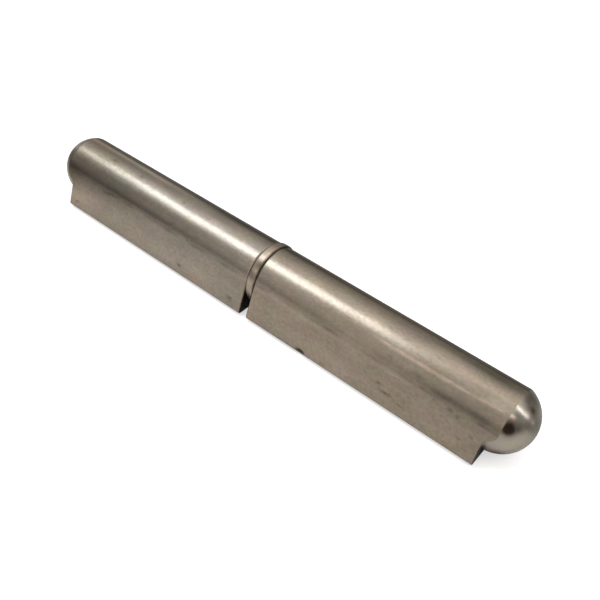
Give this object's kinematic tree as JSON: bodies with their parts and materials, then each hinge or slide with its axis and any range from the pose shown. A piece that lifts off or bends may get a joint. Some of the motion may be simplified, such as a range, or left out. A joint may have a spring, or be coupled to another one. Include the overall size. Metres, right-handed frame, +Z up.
{
  "type": "weld-on barrel hinge",
  "caption": "Weld-on barrel hinge: two teardrop bar leaves with ball noses that turn on a hidden pin, with a washer between them; the socket leaf lifts off.",
  "frame": {"origin": "on the floor under the middle of the hinge's box, as it lies on one flat of its tails", "axes": "+X along the pin axis towards the socket leaf, +Z up, tails towards -Y"},
  "size_m": [0.176, 0.0222, 0.0198],
  "materials": {
    "drawn_steel": "bare cold-drawn steel, satin along its length, turned noses",
    "turned_steel": "bare turned steel, slightly stained",
    "ground_steel": "bare ground steel with a film of grease"
  },
  "bodies": {
    "pin_side": {"pin_leaf": "drawn_steel", "hinge_pin": "ground_steel"},
    "washer_ring": {"washer": "turned_steel"},
    "socket_side": {"socket_leaf": "drawn_steel"}
  },
  "joints": [
    {"name": "swivel", "type": "hinge", "parent": "pin_side", "child": "washer_ring", "pos_m": [0, 0.0012, 0.0099], "axis": [-1, 0, 0], "continuous": true},
    {"name": "lift_off", "type": "slide", "parent": "washer_ring", "child": "socket_side", "axis": [1, 0, 0], "range_m": [0, 0.041]}
  ]
}
